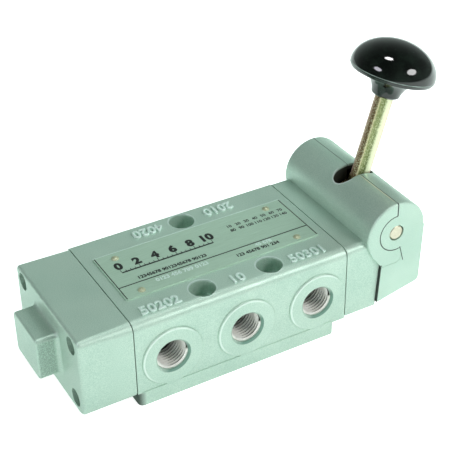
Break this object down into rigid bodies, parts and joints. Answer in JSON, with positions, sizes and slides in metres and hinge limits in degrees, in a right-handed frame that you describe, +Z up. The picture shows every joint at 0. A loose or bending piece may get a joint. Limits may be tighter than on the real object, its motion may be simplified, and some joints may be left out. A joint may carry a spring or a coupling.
{
  "type": "hand lever air valve",
  "caption": "Five-port pneumatic spool valve with a cast body on a foot and a hinged hand lever with a round black knob that shifts the spool between two positions.",
  "frame": {"origin": "centre plane of the body on the underside of the mounting foot, in line with the middle front port", "axes": "+X along the spool towards the lever, +Y towards the rear ports, +Z up from the foot"},
  "size_m": [0.1878, 0.064, 0.1111],
  "materials": {
    "painted_casting": "silver-green enamel over a die casting, light orange peel",
    "gasket_fibre": "dull dark gasket sheet",
    "screw_steel": "dark oxide steel",
    "pin_steel": "ground steel",
    "washer_plastic": "natural low-friction plastic",
    "zinc_plated_steel": "yellow zinc plating",
    "knob_black": "polished black moulding",
    "brass_insert": "turned brass",
    "spool_metal": "hard coated and honed",
    "seal_rubber": "nitrile rubber",
    "spacer_plastic": "moulded spacer",
    "spring_steel": "spring steel",
    "ball_steel": "polished steel balls",
    "plate_aluminium": "satin printed plate",
    "rivet_metal": "plain drive rivets"
  },
  "bodies": {
    "valve": {"valve_body": "painted_casting", "end_cap": "painted_casting", "lever_bracket": "painted_casting", "lever_cover": "painted_casting", "end_cap_gasket": "gasket_fibre", "bracket_gasket": "gasket_fibre", "end_cap_screws": "screw_steel", "bracket_screws": "screw_steel", "cover_screws": "screw_steel", "pivot_pin": "pin_steel", "hub_washers": "washer_plastic", "spool_seals": "seal_rubber", "seal_spacers": "spacer_plastic", "end_bushings": "spacer_plastic", "wiper_seal": "seal_rubber", "wiper_circlip": "spring_steel", "detent_sleeve": "pin_steel", "sleeve_circlip": "spring_steel", "nameplate": "plate_aluminium", "nameplate_rivets": "rivet_metal"},
    "lever": {"lever_hub": "zinc_plated_steel", "lever_rod": "zinc_plated_steel", "lever_knob": "knob_black", "knob_insert": "brass_insert"},
    "spool": {"spool": "spool_metal", "detent_balls": "ball_steel", "detent_spring": "spring_steel"}
  },
  "joints": [
    {"name": "lever_swing", "type": "hinge", "parent": "valve", "child": "lever", "pos_m": [0.07121, 0, 0.0412], "axis": [0, 1, 0], "range_deg": [-34, 0]},
    {"name": "spool_slide", "type": "slide", "parent": "valve", "child": "spool", "axis": [1, 0, 0], "range_m": [0, 0.01071]}
  ],
  "couplings": [
    {"joint": "spool_slide", "follows": "lever_swing", "m_per_rad": -0.018032}
  ]
}
